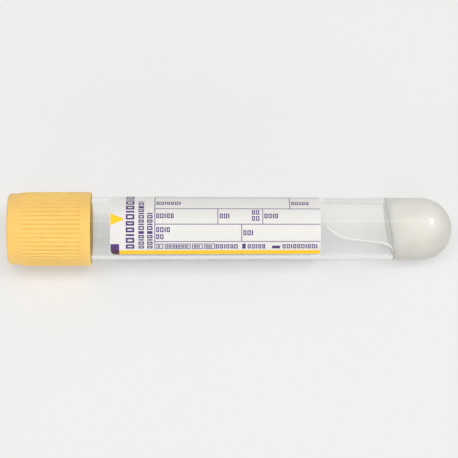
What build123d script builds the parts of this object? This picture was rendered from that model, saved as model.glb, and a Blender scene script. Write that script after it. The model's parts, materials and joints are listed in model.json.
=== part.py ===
from build123d import *
from math import acos, atan2, cos, degrees, hypot, sin
import os

# An evacuated blood collection tube with separator gel, lying on its side. Lengths are in mm.
# Stations are distances along the tube's axis, from the closed end of its cap to its round bottom.

# Tube: clear moulded PET, drafted from its mouth to a straight stretch above the round bottom
tube_length = 100.0
mouth_radius = 7.74
barrel_radius = 7.53
tube_wall = 1.1
rim_round = 0.3

# Shield: the ribbed plastic cover of the closure
shield_length = 19.9
closure_overhang = 6.5  # from the shield's closed end to the tube's mouth
skirt_clearance = 0.36  # from the tube's mouth
skirt_wall = 0.47  # at the root of the ribs
rib_height = 0.33
rib_width = 0.8
rib_count = 50
rib_fade = 1.3  # the length over which the ribs rise
end_band_length = 2.2
lip_band_length = 2.55
end_round = 0.75
lip_round = 0.25
end_wall = 1.2
port_radius = 4.75
port_chamfer = 0.4
pocket_wall = 1.27  # round the stopper's head
ledge_thickness = 1.2
ledge_reach = 1.4  # in from the pocket
flange_thickness = 0.9  # the stopper's, between the ledge and the tube's mouth

# Stopper: moulded rubber, gripped by the shield's ledge, with its plug in the tube's bore
stopper_fit = 0.05  # from the shield, all round
plug_clearance = 0.05  # from the bore
plug_length = 9.0
plug_lead = 0.6
well_radius = 3.0
well_depth = 3.4
well_round = 1.2
cavity_radius = 3.6
cavity_depth = 5.6
cavity_round = 1.0
rubber_round = 0.3

# Gel: separator gel that fills the round bottom up to a sloping face
gel_clearance = 0.03  # from the tube's wall
gel_length = 14.2  # along the axis
gel_slope = 9.0  # degrees off square
gel_high_side = -64.5  # degrees from the top to the front, where the gel reaches furthest

# Label: paper, wrapped round the drafted stretch and short of meeting itself
label_gap = 0.02  # its adhesive
label_thickness = 0.1
label_offset = 4.65  # from the shield's lip
label_length = 50.07
label_width = 41.9  # along its wrap
label_edge_turn = 76.6  # degrees from the top to the front, where its lower edge lies
label_round = 1.4
straight_offset = 1.38  # from the label to the straight stretch of the tube

# Stations along the axis
mouth_at = closure_overhang
dome_at = mouth_at + tube_length - barrel_radius
lip_band_at = shield_length - lip_band_length
ledge_under_at = mouth_at - flange_thickness
ledge_over_at = ledge_under_at - ledge_thickness
label_start_at = shield_length + label_offset
label_end_at = label_start_at + label_length
straight_at = label_end_at + straight_offset
plug_end_at = mouth_at + plug_length

# Radii that follow from the fits
bore_radius = barrel_radius - tube_wall
skirt_radius = mouth_radius + skirt_clearance
shell_radius = skirt_radius + skirt_wall
crest_radius = shell_radius + rib_height
pocket_radius = shell_radius - pocket_wall
ledge_radius = pocket_radius - ledge_reach
draft = (mouth_radius - barrel_radius) / (straight_at - mouth_at)

# The part lies on the lip of its shield and on its round bottom. The floor is the line that touches
# the rounding of the lip and the dome from below, so the axis leans down towards the dome.
lip_rise = crest_radius - lip_round
lip_reach = dome_at - (shield_length - lip_round)
lean = acos((barrel_radius - lip_round) / hypot(lip_rise, lip_reach)) - atan2(lip_reach, lip_rise)

# The origin is on the floor, below the middle of the part
low_x = end_round * (cos(lean) - 1) - (shell_radius - end_round) * sin(lean)
high_x = dome_at * cos(lean) + barrel_radius
axis_start = Vector(-(low_x + high_x) / 2, 0, barrel_radius + dome_at * sin(lean))
axis_direction = Vector(cos(lean), 0, -sin(lean))
axis_top = Vector(sin(lean), 0, cos(lean))
tube_axis = Axis(axis_start, axis_direction)


def lengthwise(turn=0.0):
    """A plane of stations and radii, its radii turned from the top to the front by so many degrees."""
    side = axis_top.rotate(tube_axis, turn)
    return Plane(axis_start, x_dir=axis_direction, z_dir=axis_direction.cross(side))


def square(station):
    """A plane square to the axis, facing the round bottom."""
    return Plane(axis_start + axis_direction * station, x_dir=(0, -1, 0), z_dir=axis_direction)


def outside_radius(station):
    """The tube's outside radius on its drafted stretch."""
    return mouth_radius - draft * (station - mouth_at)


def rings(part, station, radius):
    """The circular edges of a part at a station and a radius."""
    centre = axis_start + axis_direction * station
    return part.edges().filter_by(
        lambda edge: edge.geom_type == GeomType.CIRCLE
        and abs(edge.radius - radius) < 0.001
        and (edge.arc_center - centre).length < 0.001
    )


# Tube
with BuildPart() as tube:
    with BuildSketch(lengthwise()):
        with BuildLine():
            Polyline((mouth_at, mouth_radius), (straight_at, barrel_radius), (dome_at, barrel_radius))
            CenterArc((dome_at, 0), barrel_radius, 90, -90)
            Line((dome_at + barrel_radius, 0), (dome_at + bore_radius, 0))
            CenterArc((dome_at, 0), bore_radius, 0, 90)
            Polyline(
                (dome_at, bore_radius), (straight_at, bore_radius), (mouth_at, mouth_radius - tube_wall)
            )
            Line((mouth_at, mouth_radius - tube_wall), (mouth_at, mouth_radius))
        make_face()
    revolve(axis=tube_axis)
    fillet(rings(tube, mouth_at, mouth_radius), rim_round)
    fillet(rings(tube, mouth_at, mouth_radius - tube_wall), rim_round)

# Shield
with BuildPart() as shield:
    # Ribs, each a round bar that stands out of the shell and is cut to a slope where it begins.
    # The first lies on the floor.
    rib_radius = (rib_height**2 + (rib_width / 2) ** 2) / (2 * rib_height)
    with BuildSketch(square(end_band_length)):
        with PolarLocations(crest_radius - rib_radius, rib_count, start_angle=90):
            Circle(rib_radius)
    extrude(amount=lip_band_at + lip_round - end_band_length)
    with BuildSketch(lengthwise()):
        with BuildLine():
            Polyline(
                (end_band_length, 0),
                (end_band_length, shell_radius),
                (end_band_length + rib_fade, crest_radius),
                (shield_length, crest_radius),
                (shield_length, 0),
                close=True,
            )
        make_face()
    revolve(axis=tube_axis, mode=Mode.INTERSECT)
    # Shell, with its plain bands at both ends
    with BuildSketch(lengthwise()):
        with BuildLine():
            Polyline(
                (0, 0),
                (0, shell_radius),
                (lip_band_at, shell_radius),
                (lip_band_at, crest_radius),
                (shield_length, crest_radius),
                (shield_length, 0),
                close=True,
            )
        make_face()
    revolve(axis=tube_axis)
    # Port, pocket for the stopper's head, ledge and skirt
    with BuildSketch(lengthwise()):
        with BuildLine():
            Polyline(
                (0, 0),
                (0, port_radius),
                (end_wall, port_radius),
                (end_wall, pocket_radius),
                (ledge_over_at, pocket_radius),
                (ledge_over_at, ledge_radius),
                (ledge_under_at, ledge_radius),
                (ledge_under_at, skirt_radius),
                (shield_length, skirt_radius),
                (shield_length, 0),
                close=True,
            )
        make_face()
    revolve(axis=tube_axis, mode=Mode.SUBTRACT)
    fillet(rings(shield, 0, shell_radius), end_round)
    fillet(rings(shield, shield_length, crest_radius), lip_round)
    fillet(rings(shield, shield_length, skirt_radius), lip_round)
    chamfer(rings(shield, 0, port_radius), port_chamfer)

# Stopper
with BuildPart() as stopper:
    head_radius = pocket_radius - stopper_fit
    neck_radius = ledge_radius - stopper_fit
    flange_radius = mouth_radius
    plug_radius = mouth_radius - tube_wall - plug_clearance
    plug_end_radius = plug_radius - draft * plug_length
    head_at = end_wall + stopper_fit
    with BuildSketch(lengthwise()):
        with BuildLine():
            Polyline(
                (head_at, 0),
                (head_at, head_radius),
                (ledge_over_at - stopper_fit, head_radius),
                (ledge_over_at - stopper_fit, neck_radius),
                (ledge_under_at + stopper_fit, neck_radius),
                (ledge_under_at + stopper_fit, flange_radius),
                (mouth_at, flange_radius),
                (mouth_at, plug_radius),
                (plug_end_at, plug_end_radius),
                (plug_end_at, 0),
                close=True,
            )
        make_face()
    revolve(axis=tube_axis)
    chamfer(rings(stopper, plug_end_at, plug_end_radius), plug_lead)
    fillet(rings(stopper, head_at, head_radius), rubber_round)
    # Well for the needle and cavity below it, with the pierced wall between them
    with BuildSketch(square(head_at)):
        Circle(well_radius)
    extrude(amount=well_depth, mode=Mode.SUBTRACT)
    fillet(rings(stopper, head_at + well_depth, well_radius), well_round)
    fillet(rings(stopper, head_at, well_radius), rubber_round)
    with BuildSketch(square(plug_end_at)):
        Circle(cavity_radius)
    extrude(amount=-cavity_depth, mode=Mode.SUBTRACT)
    fillet(rings(stopper, plug_end_at - cavity_depth, cavity_radius), cavity_round)
    fillet(rings(stopper, plug_end_at, cavity_radius), rubber_round)

# Gel
with BuildPart() as gel:
    gel_radius = bore_radius - gel_clearance
    gel_tip_at = dome_at + gel_radius
    gel_back_at = gel_tip_at - 2 * gel_length
    with BuildSketch(lengthwise()):
        with BuildLine():
            Line((gel_back_at, 0), (gel_back_at, gel_radius))
            Line((gel_back_at, gel_radius), (dome_at, gel_radius))
            CenterArc((dome_at, 0), gel_radius, 90, -90)
            Line((gel_tip_at, 0), (gel_back_at, 0))
        make_face()
    revolve(axis=tube_axis)
    high_side = axis_top.rotate(tube_axis, gel_high_side)
    face_normal = axis_direction.rotate(Axis((0, 0, 0), axis_direction.cross(high_side)), -gel_slope)
    face_centre = axis_start + axis_direction * (gel_tip_at - gel_length)
    split(bisect_by=Plane(face_centre, z_dir=face_normal), keep=Keep.TOP)

# Label
with BuildPart() as label:
    start_radius = outside_radius(label_start_at) + label_gap
    end_radius = outside_radius(label_end_at) + label_gap
    label_wrap = degrees(label_width / (start_radius + label_thickness))
    with BuildSketch(lengthwise(label_edge_turn)):
        with BuildLine():
            Polyline(
                (label_start_at, start_radius),
                (label_start_at, start_radius + label_thickness),
                (label_end_at, end_radius + label_thickness),
                (label_end_at, end_radius),
                close=True,
            )
        make_face()
    revolve(axis=tube_axis, revolution_arc=-label_wrap)
    # Rounded corners, each cut by a square with a round bite
    for station, inward in ((label_start_at, 1), (label_end_at, -1)):
        for turn, upward in ((label_edge_turn, 1), (label_edge_turn - label_wrap, -1)):
            side = axis_top.rotate(tube_axis, turn)
            corner = axis_start + axis_direction * station + side * outside_radius(station)
            with BuildSketch(Plane(corner, x_dir=axis_direction, z_dir=side)):
                Rectangle(2 * label_round, 2 * label_round)
                with Locations((inward * label_round, upward * label_round)):
                    Circle(label_round, mode=Mode.SUBTRACT)
            extrude(amount=label_round, both=True, mode=Mode.SUBTRACT)

os.makedirs("parts", exist_ok=True)
for name, piece in {
    "tube": tube,
    "shield": shield,
    "stopper": stopper,
    "gel": gel,
    "label": label,
}.items():
    piece.part.label = name
    export_step(piece.part, f"parts/{name}.step")
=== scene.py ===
import json
import math

import bpy
from mathutils import Matrix, Vector


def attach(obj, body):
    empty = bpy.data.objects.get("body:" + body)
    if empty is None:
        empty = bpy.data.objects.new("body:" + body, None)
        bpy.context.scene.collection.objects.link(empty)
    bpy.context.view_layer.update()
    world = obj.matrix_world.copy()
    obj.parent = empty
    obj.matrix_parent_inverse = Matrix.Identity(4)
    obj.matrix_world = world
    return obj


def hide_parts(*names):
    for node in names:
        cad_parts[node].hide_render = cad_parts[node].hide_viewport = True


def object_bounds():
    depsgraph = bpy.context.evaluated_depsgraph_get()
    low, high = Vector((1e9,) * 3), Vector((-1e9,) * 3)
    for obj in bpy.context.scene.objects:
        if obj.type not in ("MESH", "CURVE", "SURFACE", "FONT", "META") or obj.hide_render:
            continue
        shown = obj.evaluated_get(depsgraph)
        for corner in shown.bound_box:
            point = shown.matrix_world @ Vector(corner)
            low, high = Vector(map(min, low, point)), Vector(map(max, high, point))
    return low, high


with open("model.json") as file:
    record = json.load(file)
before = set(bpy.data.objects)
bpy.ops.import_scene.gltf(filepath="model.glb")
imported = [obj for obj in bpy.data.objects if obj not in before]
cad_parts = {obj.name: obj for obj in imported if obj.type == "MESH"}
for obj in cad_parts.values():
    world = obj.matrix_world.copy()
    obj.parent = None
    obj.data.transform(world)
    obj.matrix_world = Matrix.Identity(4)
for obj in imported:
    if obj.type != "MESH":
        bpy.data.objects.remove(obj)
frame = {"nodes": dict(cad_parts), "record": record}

# A blood collection tube lying on a pale floor. Each piece is modelled straight, along X with its
# cap at the origin, in mm of station and radius, and is then laid down where the CAD part lies.

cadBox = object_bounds()
mm = 0.001
mergeGap = 2e-6  # m, finer than any detail
cutGap = 1e-7  # m, for a bisect
nearby = 0.01  # mm, for picking vertices by their place

mounts = {mount["name"]: mount for mount in frame["record"]["mounts"]}
axisWay = Vector(mounts["barrel"]["axis"]).normalized()  # from the cap to the round bottom
barrelPoint = Vector(mounts["barrel"]["pos_m"])
capFace = Vector(mounts["closed_end"]["pos_m"])
capCentre = barrelPoint + axisWay * (capFace - barrelPoint).dot(axisWay)
axisUp = axisWay.cross(Vector((0, 1, 0)))
layDown = Matrix.Translation(capCentre) @ Matrix((axisWay, (0, 1, 0), axisUp)).transposed().to_4x4()


def reach(node):  # first station, last station and largest radius of a CAD node
    offsets = [vertex.co - capCentre for vertex in frame["nodes"][node].data.vertices]
    along = [offset.dot(axisWay) for offset in offsets]
    out = [(offset - axisWay * station).length for offset, station in zip(offsets, along)]
    return min(along) / mm, max(along) / mm, max(out) / mm


tubeStart, tubeEnd, mouthRadius = reach("tube")
capStart, capEnd, crestRadius = reach("shield")
stopperStart, stopperEnd, flangeRadius = reach("stopper")
gelStart, _, gelRadius = reach("gel")
labelStart, labelEnd, labelRadius = reach("label")
barrelRadius = mounts["barrel"]["dims"]["r_mm"]
domeStation = tubeEnd - barrelRadius
straightStation = domeStation - mounts["barrel"]["dims"]["length_mm"]
lipRadius = mounts["grip_band"]["dims"]["r_mm"]
portRadius = mounts["needle_port"]["dims"]["r_mm"]
wellRadius = mounts["needle_well"]["dims"]["r_mm"]
draft = (mouthRadius - barrelRadius) / (straightStation - tubeStart)
print("measured the CAD part")


def outsideRadius(station):  # of the tube's drafted wall
    return mouthRadius - draft * (station - tubeStart)


def arc(station, radius, size, start, end, count=8):  # points of a round, angles from the axis
    turns = [math.radians(start + (end - start) * i / count) for i in range(count + 1)]
    return [(station + size * math.cos(turn), radius + size * math.sin(turn)) for turn in turns]


def spun(name, outline, steps):  # turns an outline of stations and radii round the axis
    bpy.ops.object.select_all(action="DESELECT")
    bpy.ops.mesh.primitive_plane_add(size=mm, location=(0, 0, 0))
    piece = bpy.context.object
    piece.name = name
    bpy.ops.object.mode_set(mode="EDIT")
    bpy.ops.mesh.select_mode(type="VERT")
    bpy.ops.mesh.select_all(action="SELECT")
    bpy.ops.mesh.merge(type="CENTER")
    bpy.ops.transform.translate(value=(outline[0][0] * mm, 0, outline[0][1] * mm))
    for last, point in zip(outline, outline[1:]):
        step = ((point[0] - last[0]) * mm, 0, (point[1] - last[1]) * mm)
        bpy.ops.mesh.extrude_vertices_move(TRANSFORM_OT_translate={"value": step})
    bpy.ops.mesh.select_all(action="SELECT")
    bpy.ops.mesh.remove_doubles(threshold=mergeGap)
    bpy.ops.mesh.spin(steps=steps, angle=math.tau, center=(0, 0, 0), axis=(1, 0, 0))
    bpy.ops.mesh.select_all(action="SELECT")
    bpy.ops.mesh.remove_doubles(threshold=mergeGap)
    bpy.ops.mesh.normals_make_consistent(inside=False)
    bpy.ops.object.mode_set(mode="OBJECT")
    return piece


def focus(piece):  # leaves edit mode, and makes a piece the only one selected
    if bpy.context.mode != "OBJECT":
        bpy.ops.object.mode_set(mode="OBJECT")
    bpy.ops.object.select_all(action="DESELECT")
    bpy.context.view_layer.objects.active = piece
    piece.select_set(True)


def selectOnly(piece, kind, wanted):  # opens edit mode with just the wanted vertices or faces
    focus(piece)
    bpy.ops.object.mode_set(mode="EDIT")
    bpy.ops.mesh.select_mode(type=kind)
    bpy.ops.mesh.select_all(action="DESELECT")
    bpy.ops.object.mode_set(mode="OBJECT")
    for part in piece.data.vertices if kind == "VERT" else piece.data.polygons:
        part.select = wanted(part)
    bpy.ops.object.mode_set(mode="EDIT")


def finishPiece(piece, body, node, material, sharp=40):  # lays it down and hands it over
    focus(piece)
    bpy.ops.object.transform_apply(location=True, rotation=True, scale=True)
    bpy.ops.object.shade_smooth_by_angle(angle=math.radians(sharp))
    piece.data.transform(layDown)
    piece.data.materials.clear()
    piece.data.materials.append(material)
    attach(piece, body)
    if node:
        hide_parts(node)
    print("made", piece.name, len(piece.data.polygons), "faces")
    return piece


def linear(hexColour):  # sRGB hex to linear RGBA
    channels = [int(hexColour[i : i + 2], 16) / 255 for i in (1, 3, 5)]
    return [c / 12.92 if c <= 0.04045 else ((c + 0.055) / 1.055) ** 2.4 for c in channels] + [1]


def addNode(tree, kind, inputs, **settings):  # inputs are values or sockets to link from
    node = tree.nodes.new(kind)
    for name, value in settings.items():
        setattr(node, name, value)
    for name, value in inputs.items():
        if isinstance(value, bpy.types.NodeSocket):
            tree.links.new(value, node.inputs[name])
        else:
            node.inputs[name].default_value = value
    return node


def newMaterial(name, **values):  # a Principled material with its plain values set
    material = bpy.data.materials.new(name)
    material.use_nodes = True
    tree = material.node_tree
    shader = tree.nodes["Principled BSDF"]
    for socket, value in values.items():
        shader.inputs[socket.replace("_", " ")].default_value = value
    return material, tree, shader


def mottle(tree, shader, size, first, second):  # the colour drifts between two, over size mm
    place = addNode(tree, "ShaderNodeTexCoord", {})
    noise = addNode(
        tree, "ShaderNodeTexNoise",
        {"Vector": place.outputs["Object"], "Scale": 1 / (size * mm), "Detail": 3, "Roughness": 0.55},
    )
    ramp = addNode(tree, "ShaderNodeValToRGB", {"Fac": noise.outputs["Fac"]})
    ramp.color_ramp.elements[0].position = 0.3
    ramp.color_ramp.elements[0].color = linear(first)
    ramp.color_ramp.elements[1].position = 0.7
    ramp.color_ramp.elements[1].color = linear(second)
    tree.links.new(ramp.outputs["Color"], shader.inputs["Base Color"])
    return place


def haze(tree, shader, place, size, low, high):  # the roughness drifts, over size mm
    noise = addNode(
        tree, "ShaderNodeTexNoise",
        {"Vector": place.outputs["Object"], "Scale": 1 / (size * mm), "Detail": 2},
    )
    sheen = addNode(
        tree, "ShaderNodeMapRange",
        {"Value": noise.outputs["Fac"], "From Min": 0.3, "From Max": 0.7, "To Min": low, "To Max": high},
    )
    tree.links.new(sheen.outputs["Result"], shader.inputs["Roughness"])
    return noise


def grain(tree, shader, place, size, height, low, high):  # fine relief and its sheen
    noise = haze(tree, shader, place, size, low, high)
    bump = addNode(
        tree, "ShaderNodeBump", {"Height": noise.outputs["Fac"], "Distance": height * mm, "Strength": 1}
    )
    tree.links.new(bump.outputs["Normal"], shader.inputs["Normal"])


def looked(tree):  # 1 where a floor or a backdrop is looked at, also in a reflection or through glass
    rays = addNode(tree, "ShaderNodeLightPath", {})
    first = addNode(
        tree, "ShaderNodeMath", {0: rays.outputs["Is Camera Ray"], 1: rays.outputs["Is Glossy Ray"]},
        operation="MAXIMUM",
    )
    both = addNode(
        tree, "ShaderNodeMath", {0: first.outputs[0], 1: rays.outputs["Is Transmission Ray"]},
        operation="MAXIMUM",
    )
    return both.outputs[0]


# Moulded PET: water clear with a glossy skin, its sheen a little uneven from the mould
clearPet, tree, shader = newMaterial(
    "moulded PET", Base_Color=linear("#FBFCFB"), Transmission_Weight=1, IOR=1.57
)
place = addNode(tree, "ShaderNodeTexCoord", {})
haze(tree, shader, place, 9, 0.01, 0.03)

# Moulded polypropylene in gold: a satin skin that light goes a little way into
goldPlastic, tree, shader = newMaterial(
    "moulded polypropylene", IOR=1.49, Subsurface_Weight=0.6, Subsurface_Scale=0.0012,
    Subsurface_Radius=(1, 0.8, 0.5),
)
place = mottle(tree, shader, 5, "#F6C76C", "#FACC74")
grain(tree, shader, place, 0.6, 0.0015, 0.38, 0.46)

# Halobutyl rubber: matte, dusted with the lubricant it was moulded with
rubber, tree, shader = newMaterial("halobutyl rubber", IOR=1.52, Specular_IOR_Level=0.4)
place = mottle(tree, shader, 1.6, "#94584A", "#A56656")
grain(tree, shader, place, 0.12, 0.006, 0.62, 0.78)

# Separator gel: a warm milky jelly that light soaks through, so that it glows a little
cloudyGel, tree, shader = newMaterial(
    "separator gel", IOR=1.4, Transmission_Weight=0.15, Subsurface_Weight=1, Subsurface_Scale=0.005,
    Subsurface_Radius=(1, 0.9, 0.8),
)
place = mottle(tree, shader, 4, "#E4E1DA", "#EBE8E2")
haze(tree, shader, place, 2.5, 0.3, 0.45)

# Smeared gel: the same jelly as a film, thin enough to see through
gelSmear, tree, shader = newMaterial("smeared gel", IOR=1.4, Roughness=0.35, Alpha=0.16)
mottle(tree, shader, 3, "#E9E6DE", "#F2EFE8")

# Beaded gel: the rounded edge of the smear, coloured whiter than the gel itself as a painted highlight
# for the glint along its wet edge
beadGelPaintedGlint, tree, shader = newMaterial("beaded gel", IOR=1.4, Roughness=0.15)
mottle(tree, shader, 3, "#FAF8F3", "#FFFEFA")

# Coated label paper: white, smooth, faintly fibrous, and thin enough to let some light through
labelPaper, tree, shader = newMaterial(
    "coated label paper", IOR=1.5, Subsurface_Weight=0.5, Subsurface_Scale=0.0003,
    Subsurface_Radius=(1, 1, 1),
)
place = mottle(tree, shader, 0.8, "#EAE7E3", "#EEEBE7")
grain(tree, shader, place, 0.15, 0.002, 0.38, 0.5)

# Flexographic ink: thin and even, a touch glossier than the paper
inks = {}
for name, first, second in (
    ("purple", "#482A6C", "#543379"),
    ("yellow", "#FDC600", "#FFCB08"),
    ("maroon", "#4C1F37", "#57253F"),
    ("grey purple", "#766889", "#807292"),
):
    inks[name], tree, shader = newMaterial(name + " ink", IOR=1.5)
    place = mottle(tree, shader, 0.5, first, second)
    grain(tree, shader, place, 0.15, 0.001, 0.34, 0.44)
print("mixed the materials")

# Tube
tube = {
    "wall": 1.1, "rimRound": 0.3, "gateRadius": 0.7, "gateDepth": 0.09, "gateBlend": 0.12, "hold": 0.2,
    "steps": 160,
}
innerRadius = barrelRadius - tube["wall"]
rimRound = tube["rimRound"]
gateEdge = math.degrees(math.asin((tube["gateRadius"] + tube["gateBlend"]) / barrelRadius))
outline = [(tubeEnd - tube["gateDepth"], 0), (tubeEnd - tube["gateDepth"], tube["gateRadius"])]
outline += arc(domeStation, 0, barrelRadius, gateEdge, 90, 26)
holdStation = tubeStart + rimRound + tube["hold"]  # rings beside the rounds keep the long walls straight
outline += [(domeStation - tube["hold"], barrelRadius), (straightStation, barrelRadius)]
outline += [(holdStation, outsideRadius(holdStation))]
outline += arc(tubeStart + rimRound, mouthRadius - rimRound, rimRound, 90, 180, 4)
outline += arc(tubeStart + rimRound, mouthRadius - tube["wall"] + rimRound, rimRound, 180, 270, 4)
outline += [(holdStation, outsideRadius(holdStation) - tube["wall"])]
outline += [(straightStation, innerRadius), (domeStation - tube["hold"], innerRadius)]
outline += arc(domeStation, 0, innerRadius, 90, 0, 24)
outline[-1] = (outline[-1][0], 0)
piece = spun("tubeWall", outline, tube["steps"])
piece.visible_shadow = False  # the lamps shine through it
finishPiece(piece, "tube", "tube", clearPet, 50)

# Gel, sunk a little into the wall because it wets it
gel = {
    "gap": 0.03, "sink": 0.05, "spare": 3, "slope": 9, "highSide": -64.5, "rimWidth": 0.5, "dish": 0.35,
    "steps": 96,
}
wetRadius = gelRadius + gel["gap"] + gel["sink"]
plugStart = gelStart - gel["spare"]  # long enough for the sloping cut
outline = [(plugStart, 0), (plugStart, wetRadius), (domeStation - tube["hold"], wetRadius)]
outline += [(domeStation, wetRadius)]
outline += arc(domeStation, 0, wetRadius, 90, 0, 16)[1:]
outline[-1] = (outline[-1][0], 0)
piece = spun("gelPlug", outline, gel["steps"])
high = math.radians(gel["highSide"])
slope = math.radians(gel["slope"])
towardHigh = Vector((0, -math.sin(high), math.cos(high)))
faceOut = Vector((-math.cos(slope), 0, 0)) - towardHigh * math.sin(slope)
faceStation = (gelStart + gelRadius * math.tan(slope)) * mm
bpy.ops.object.mode_set(mode="EDIT")
bpy.ops.mesh.select_all(action="SELECT")
bpy.ops.mesh.bisect(
    plane_co=(faceStation, 0, 0), plane_no=faceOut, use_fill=True, clear_outer=True, threshold=cutGap
)
bpy.ops.mesh.select_mode(type="FACE")
bpy.ops.object.mode_set(mode="OBJECT")
faceNormal = faceOut.normalized()
selectOnly(piece, "FACE", lambda face: face.normal.dot(faceNormal) > 0.999 and len(face.vertices) > 8)
for share in (0.35, 0.3, 0.2, 0.1):  # the meniscus climbs the wall
    bpy.ops.mesh.inset(thickness=gel["rimWidth"] * share * 2 * mm, depth=0)
    bpy.ops.transform.translate(value=-faceNormal * gel["dish"] * share * mm)
bpy.ops.object.mode_set(mode="OBJECT")
finishPiece(piece, "tube", "gel", cloudyGel, 60)

# Smear of gel left on the inside of the wall above the plug, ending in a thicker bead
smear = {
    "edge": {  # station by turn from the top, in degrees towards the front
        -75: 75.3, 0: 75.5, 21: 76.1, 35: 78.2, 44: 80.3, 47.5: 83,
        52: 86.8, 56: 89.8, 62: 91.2, 73: 91.9, 100: 92.3,
    },
    "gap": 0.01, "thick": 0.06, "overlap": 0.3, "steps": (6, 48),
}
bead = {"fromTurn": 21, "sink": 0.1, "radius": 0.18}


def smearEdge(turn):  # station where the smear ends, at a turn from the top towards the front
    turns = sorted(smear["edge"])
    for low, high in zip(turns, turns[1:]):
        if turn <= high:
            share = (turn - low) / (high - low)
            return smear["edge"][low] * (1 - share) + smear["edge"][high] * share
    return smear["edge"][turns[-1]]


def onWall(station, turn, radius):
    turn = math.radians(turn)
    return Vector((station, -radius * math.sin(turn), radius * math.cos(turn))) * mm


bpy.ops.object.select_all(action="DESELECT")
alongSteps, roundSteps = smear["steps"]
bpy.ops.mesh.primitive_grid_add(x_subdivisions=alongSteps, y_subdivisions=roundSteps, size=2)
piece = bpy.context.object
piece.name = "gelSmear"
firstTurn, lastTurn = min(smear["edge"]), max(smear["edge"])
for vertex in piece.data.vertices:
    turn = firstTurn + (lastTurn - firstTurn) * (vertex.co.y + 1) / 2
    faceAt = faceStation / mm - innerRadius * math.tan(slope) * math.cos(math.radians(turn) - high)
    begins = min(smearEdge(turn), faceAt)
    share = (vertex.co.x + 1) / 2
    station = begins + (faceAt + smear["overlap"] - begins) * share
    vertex.co = onWall(station, turn, innerRadius - smear["gap"])
modifier = piece.modifiers.new("thickness", "SOLIDIFY")
modifier.thickness = smear["thick"] * mm
modifier.offset = 0
bpy.ops.object.modifier_apply(modifier=modifier.name)
finishPiece(piece, "tube", None, gelSmear, 60)

curve = bpy.data.curves.new("gelBead", "CURVE")
curve.dimensions = "3D"
curve.bevel_depth = bead["radius"] * mm
curve.bevel_resolution = 3
curve.use_fill_caps = True
path = curve.splines.new("BEZIER")
beadTurns = [turn for turn in sorted(smear["edge"]) if turn >= bead["fromTurn"]]
path.bezier_points.add(len(beadTurns) - 1)
for point, turn in zip(path.bezier_points, beadTurns):
    point.co = onWall(smear["edge"][turn], turn, innerRadius - bead["sink"])
    point.handle_left_type = point.handle_right_type = "AUTO"
piece = bpy.data.objects.new("gelBead", curve)
bpy.context.scene.collection.objects.link(piece)
focus(piece)
bpy.ops.object.convert(target="MESH")
# the bead's whiter colour is a painted highlight along the smear's edge
finishPiece(bpy.context.object, "tube", None, beadGelPaintedGlint, 60)

# Shield
shield = {
    "endRound": 0.75, "endBand": 2.2, "lipBand": 2.55, "lipRound": 0.25, "portChamfer": 0.4,
    "wall": 0.47, "skirt": 8.1, "pocket": 7.3, "ledge": 5.9, "ledgeOver": 4.4, "ledgeUnder": 5.6,
    "endWall": 1.2, "ribs": 50, "columns": 8, "ribGap": 0.02, "lipSlope": 0.08,
}
shellRadius = shield["skirt"] + shield["wall"]
ribHeights = (crestRadius - shellRadius, 0.312, 0.26, 0.17)  # at the crest, then column by column off it
ribRise = {2.5: 0.1, 2.9: 0.3, 3.4: 0.55, 4.1: 0.78, 5.1: 0.93, 6.4: 1}  # share of the height by station
lipStart = capEnd - shield["lipBand"]
ribEnd = lipStart - shield["ribGap"]
endRound, lipRound = shield["endRound"], shield["lipRound"]
outline = [(capStart, portRadius + shield["portChamfer"])]
outline += arc(capStart + endRound, shellRadius - endRound, endRound, 180, 90, 6)
outline += [(shield["endBand"], shellRadius)] + [(station, shellRadius) for station in ribRise]
outline += [(ribEnd, shellRadius), (lipStart + shield["lipSlope"], lipRadius)]
outline += arc(capEnd - lipRound, lipRadius - lipRound, lipRound, 90, 0, 4)
outline += arc(capEnd - lipRound, shield["skirt"] + lipRound, lipRound, 0, -90, 4)
outline += [(shield["ledgeUnder"], shield["skirt"]), (shield["ledgeUnder"], shield["ledge"])]
outline += [(shield["ledgeOver"], shield["ledge"]), (shield["ledgeOver"], shield["pocket"])]
outline += [(shield["endWall"], shield["pocket"]), (shield["endWall"], portRadius)]
outline += [(capStart + shield["portChamfer"], portRadius), outline[0]]
steps = shield["ribs"] * shield["columns"]
piece = spun("capShield", outline, steps)


def ribPhase(point):  # columns between a point and the nearest crest
    column = round(math.atan2(point.y, point.z) / math.tau * steps) % shield["columns"]
    return min(column, shield["columns"] - column)


for station, share in list(ribRise.items()) + [(ribEnd, 1)]:
    for phase, height in enumerate(ribHeights):
        selectOnly(
            piece, "VERT",
            lambda vertex: abs(vertex.co.x / mm - station) < nearby
            and vertex.co.yz.length > (shellRadius - nearby) * mm and ribPhase(vertex.co) == phase,
        )
        grow = (shellRadius + height * share) / shellRadius
        bpy.ops.transform.resize(value=(1, grow, grow), center_override=(0, 0, 0))
bpy.ops.object.mode_set(mode="OBJECT")
finishPiece(piece, "closure", "shield", goldPlastic, 45)

# Stopper
stopper = {
    "head": 7.25, "neck": 5.85, "headEnd": 4.35, "neckEnd": 5.65, "plugTaper": 0.027, "plugGap": 0.05,
    "lead": 0.6, "well": 3.4, "wellRound": 1.2, "cavity": 3.6, "cavityDepth": 5.6, "cavityRound": 1,
    "edge": 0.3, "steps": 96,
}
edge, wellRound, cavityRound = stopper["edge"], stopper["wellRound"], stopper["cavityRound"]
wellEnd = stopperStart + stopper["well"]
cavityEnd = stopperEnd - stopper["cavityDepth"]
plugRadius = mouthRadius - tube["wall"] - stopper["plugGap"]
plugEndRadius = plugRadius - stopper["plugTaper"]
outline = [(wellEnd, 0)]
outline += arc(wellEnd - wellRound, wellRadius - wellRound, wellRound, 0, 90, 5)
outline += arc(stopperStart + edge, wellRadius + edge, edge, 270, 180, 3)
outline += arc(stopperStart + edge, stopper["head"] - edge, edge, 180, 90, 3)
outline += [(stopper["headEnd"], stopper["head"]), (stopper["headEnd"], stopper["neck"])]
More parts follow.
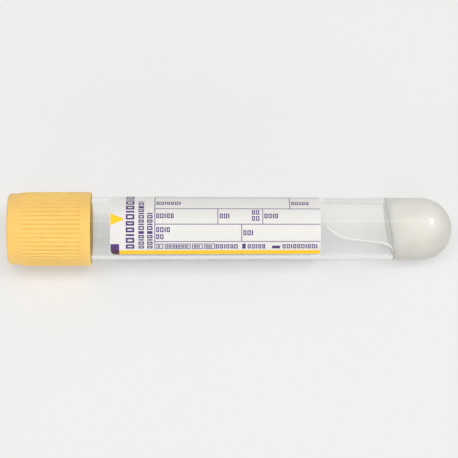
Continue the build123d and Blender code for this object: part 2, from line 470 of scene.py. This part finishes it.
outline += [(stopper["neckEnd"], stopper["neck"]), (stopper["neckEnd"], flangeRadius)]
outline += [(tubeStart, flangeRadius), (tubeStart, plugRadius)]
outline += [(stopperEnd - stopper["lead"], plugEndRadius), (stopperEnd, plugEndRadius - stopper["lead"])]
outline += arc(stopperEnd - edge, stopper["cavity"] + edge, edge, 0, -90, 3)
outline += arc(cavityEnd + cavityRound, stopper["cavity"] - cavityRound, cavityRound, 90, 180, 5)
outline += [(cavityEnd, 0)]
piece = spun("stopperPlug", outline, stopper["steps"])
finishPiece(piece, "closure", "stopper", rubber, 40)

# Label and its print, drawn flat in mm from the corner nearest the cap, sliced, and wrapped round
label = {"gap": 0.02, "thick": 0.1, "width": 41.9, "edgeTurn": 76.6, "corner": 1.4, "slice": 0.35}
printing = {
    "thick": 0.012, "sink": 0.004, "rule": 0.2, "blockWidths": (0.6, 0.66, 0.24, 0.6, 0.55, 0.7, 0.24),
}
wrapRadius = outsideRadius(labelStart) + label["gap"] + label["thick"]


def flatArea(name, left, low, right, top):  # a flat rectangle, its object left active
    bpy.ops.object.select_all(action="DESELECT")
    bpy.ops.mesh.primitive_plane_add(size=1, location=((left + right) / 2 * mm, (low + top) / 2 * mm, 0))
    piece = bpy.context.object
    piece.name = name
    bpy.ops.transform.resize(value=((right - left) * mm, (top - low) * mm, 1))
    bpy.ops.object.transform_apply(location=True, rotation=True, scale=True)
    return piece


def roundCorners(piece, radius, wanted, segments=8):
    selectOnly(piece, "VERT", wanted)
    bpy.ops.mesh.bevel(offset=radius * mm, segments=segments, affect="VERTICES")
    bpy.ops.object.mode_set(mode="OBJECT")


def joined(name, pieces):
    bpy.ops.object.select_all(action="DESELECT")
    for piece in pieces:
        piece.select_set(True)
    bpy.context.view_layer.objects.active = pieces[0]
    if len(pieces) > 1:
        bpy.ops.object.join()
    pieces[0].name = name
    return pieces[0]


def wrapped(piece, gap, thick):  # slices a flat piece along the tube, bends it round and thickens it
    focus(piece)
    heights = [vertex.co.y / mm for vertex in piece.data.vertices]
    bpy.ops.object.mode_set(mode="EDIT")
    bpy.ops.mesh.select_mode(type="VERT")
    firstCut = math.ceil(min(heights) / label["slice"])
    lastCut = math.floor(max(heights) / label["slice"])
    for cut in range(firstCut, lastCut + 1):
        bpy.ops.mesh.select_all(action="SELECT")
        height = cut * label["slice"] * mm
        bpy.ops.mesh.bisect(plane_co=(0, height, 0), plane_no=(0, 1, 0), threshold=cutGap)
    bpy.ops.mesh.select_all(action="SELECT")
    bpy.ops.mesh.remove_doubles(threshold=mergeGap)
    bpy.ops.object.mode_set(mode="OBJECT")
    for vertex in piece.data.vertices:
        turn = math.radians(label["edgeTurn"]) - vertex.co.y / mm / wrapRadius
        station = labelStart + vertex.co.x / mm
        radius = outsideRadius(station) + gap
        vertex.co = Vector((station, -radius * math.sin(turn), radius * math.cos(turn))) * mm
    modifier = piece.modifiers.new("thickness", "SOLIDIFY")
    modifier.thickness = thick * mm
    modifier.offset = 1
    modifier.use_even_offset = True
    bpy.ops.object.modifier_apply(modifier=modifier.name)
    return piece


labelLength = labelEnd - labelStart
paper = flatArea("labelPaper", 0, 0, labelLength, label["width"])
roundCorners(paper, label["corner"], lambda vertex: True)
wrapped(paper, label["gap"], label["thick"])
finishPiece(paper, "tube", "label", labelPaper, 30)

# heights of the ruled lines up the wrap, and how far from the label's start its columns begin
rows = (3.88, 8.12, 12.22, 17.13, 21.6, 26.2)
columns = {"first": 10.62, "second": 25.6, "third": 31.24, "fourth": 36.26, "fifth": 42.73}
band = {"left": 0.1, "right": 2.15, "low": 0.1, "top": 1.4, "cornerTop": 3.22}  # stripe and its corner


def frameBox(left, low, right, top, line):  # an outlined box
    box = flatArea("box", left, low, right, top)
    selectOnly(box, "FACE", lambda face: True)
    bpy.ops.mesh.inset(thickness=line * mm, depth=0)
    bpy.ops.mesh.delete(type="FACE")
    bpy.ops.object.mode_set(mode="OBJECT")
    return box


def blocks(left, low, height, length, stroke=0.24, upright=False):  # plain blocks, like print far off
    shapes, run, turn = [], 0, 0
    while True:
        width = height * printing["blockWidths"][turn % len(printing["blockWidths"])]
        if run + width > length:
            return shapes
        if upright:
            corners = (left, low + run, left + height, low + run + width)
        else:
            corners = (left + run, low, left + run + width, low + height)
        if width > 2.6 * stroke:
            shapes.append(frameBox(*corners, stroke))
        else:
            shapes.append(flatArea("block", *corners))
        run += width + height * 0.2
        turn += 1


def printed(name, shapes, ink):  # a layer of ink on the paper
    piece = wrapped(
        joined(name, shapes),
        label["gap"] + label["thick"] - printing["sink"],
        printing["thick"] + printing["sink"],
    )
    return finishPiece(piece, "tube", None, inks[ink], 30)


ruleHalf = printing["rule"] / 2


def divider(column, row):  # from one ruled line up to the next
    middle = columns[column]
    return flatArea("divider", middle - ruleHalf, rows[row], middle + ruleHalf, rows[row + 1])


margin = columns["first"]
rules = [flatArea("rule", margin - ruleHalf, 1.62, margin + ruleHalf, 31)]
rules += [flatArea("rule", margin, row - ruleHalf, labelLength - 0.15, row + ruleHalf) for row in rows]
rules += [divider("third", 0), divider("second", 1), divider("fourth", 1), divider("fifth", 2)]
printed("printRules", rules, "grey purple")

# the three upright lines, the captions of the boxes and the small row above the stripe
shapes = [flatArea("corner", band["left"], band["top"], band["right"], band["cornerTop"])]
shapes += blocks(3.75, 1.95, 2.0, 17.5, 0.42, upright=True)
shapes += blocks(6.75, 2.0, 1.3, 13.2, 0.28, upright=True)
shapes += blocks(8.8, 2.0, 1.3, 9.8, 0.28, upright=True)
for left, low, length in (
    (11.0, 18.4, 5.0), (11.0, 13.5, 6.1), (43.1, 13.5, 5.0), (10.95, 9.6, 4.2), (26.05, 9.6, 3.0),
    (33.7, 10.55, 2.2), (33.7, 8.95, 2.2), (36.65, 9.6, 3.3), (10.95, 6.2, 3.6), (10.95, 4.5, 2.1),
    (31.65, 5.45, 2.4), (25.1, 1.95, 5.4), (32.7, 1.95, 5.0), (41.0, 1.95, 8.4),
):
    shapes += blocks(left, low, 1.2, length)
for left, right in ((11.0, 12.6), (13.0, 19.1), (19.5, 22.0), (22.35, 24.9)):
    shapes.append(frameBox(left, 1.85, right, 3.3, 0.17))
    shapes += blocks(left + 0.4, 2.2, 0.75, right - left - 0.7, 0.17)
shapes += [flatArea("bar", 31.4, 1.9, 32.2, 3.3), flatArea("bar", 38.5, 1.95, 40.4, 2.75)]
printed("printPurple", shapes, "purple")

dark = flatArea("dark", band["left"], 0.06, band["right"], band["top"])
roundCorners(dark, 1.25, lambda vertex: vertex.co.x < mm and vertex.co.y < mm)
printed("printMaroon", [dark], "maroon")

stripe = flatArea("stripe", band["right"], band["low"], labelLength - 0.2, band["top"])
arrow = flatArea("arrow", 0.1, 7.83, 3.5, 10.83)
selectOnly(arrow, "VERT", lambda vertex: vertex.co.x > 2 * mm)
bpy.ops.mesh.merge(type="CENTER")
bpy.ops.object.mode_set(mode="OBJECT")
roundCorners(arrow, 0.5, lambda vertex: vertex.co.x > 2 * mm, 4)
printed("printYellow", [stripe, arrow], "yellow")

# Floor
floorSize = {"side": 4.0, "glow": 0.45}  # metres, and how far the sheet shines from below
bpy.ops.object.select_all(action="DESELECT")
bpy.ops.mesh.primitive_grid_add(
    x_subdivisions=8, y_subdivisions=8, size=floorSize["side"], location=(0, 0, cadBox[0].z)
)
floor = bpy.context.object
floor.name = "floor"
paleFloor, tree, shader = newMaterial("opal acrylic sheet", Roughness=0.85, Specular_IOR_Level=0.1)
mottle(tree, shader, 60, "#E5E5E4", "#E7E7E6")
glow = addNode(tree, "ShaderNodeEmission", {"Color": linear("#F2F2F1"), "Strength": 1})
looks = looked(tree)
share = addNode(tree, "ShaderNodeMath", {0: looks, 1: floorSize["glow"]}, operation="MULTIPLY")
lit = addNode(
    tree, "ShaderNodeMixShader", {0: share.outputs[0], 1: shader.outputs[0], 2: glow.outputs[0]}
)
tree.links.new(lit.outputs[0], tree.nodes["Material Output"].inputs["Surface"])
floor.data.materials.append(paleFloor)
print("laid the floor")

# World: an even pale room, as bright to the eye as the floor, and plainer as a light
room = {"seen": 0.86, "light": 0.38}
world = bpy.data.worlds.new("pale room")
bpy.context.scene.world = world
world.use_nodes = True
tree = world.node_tree
tree.nodes.clear()
lighting = addNode(tree, "ShaderNodeBackground", {"Color": (1, 1, 1, 1), "Strength": room["light"]})
backdrop = addNode(tree, "ShaderNodeBackground", {"Color": (1, 1, 1, 1), "Strength": room["seen"]})
mix = addNode(
    tree, "ShaderNodeMixShader", {0: looked(tree), 1: lighting.outputs[0], 2: backdrop.outputs[0]}
)
addNode(tree, "ShaderNodeOutputWorld", {"Surface": mix.outputs[0]})

# Lamps: a wide softbox above and a low one in front, neither of which shows in reflections, then a slim
# one overhead for the streak along the wall and a square one to the right for the glint on the round end
lamps = {
    "above": {"at": (0.0, -0.1, 0.99), "size": (1.2, 0.4), "watts": 6.6, "reflected": False},
    "front": {"at": (0.0, -0.95, 0.27), "size": (1.4, 0.3), "watts": 3.2, "reflected": False},
    "overhead": {"at": (0.0, 0.08, 0.95), "size": (0.8, 0.12), "watts": 0.22, "reflected": True},
    "right": {"at": (0.58, 0.08, 0.73), "size": (0.42, 0.3), "watts": 0.9, "reflected": True},
}
for name, lamp in lamps.items():
    light = bpy.data.lights.new(name + " softbox", "AREA")
    light.shape = "RECTANGLE"
    light.size, light.size_y = lamp["size"]
    light.energy = lamp["watts"]
    holder = bpy.data.objects.new(name + " softbox", light)
    bpy.context.scene.collection.objects.link(holder)
    holder.location = lamp["at"]
    holder.visible_glossy = holder.visible_transmission = lamp["reflected"]
    holder.rotation_euler = (-Vector(lamp["at"])).to_track_quat("-Z", "Y").to_euler()
print("set the lamps")

# Camera
shot = {"lens": 176.4, "distance": 0.54, "elevation": 64.5, "station": 52.9}
camera = bpy.data.objects.new("camera", bpy.data.cameras.new("camera"))
camera.data.lens = shot["lens"]
camera.data.sensor_width = 36
camera.data.clip_start = 0.01
bpy.context.scene.collection.objects.link(camera)
bpy.context.scene.camera = camera
elevation = math.radians(shot["elevation"])
back = Vector((0, -math.cos(elevation), math.sin(elevation)))
right = (axisWay - back * axisWay.dot(back)).normalized()
up = back.cross(right)
turnCamera = Matrix((right, up, back)).transposed().to_4x4()
target = capCentre + axisWay * shot["station"] * mm
camera.matrix_world = Matrix.Translation(target + back * shot["distance"]) @ turnCamera

bpy.context.scene.view_settings.view_transform = "Standard"
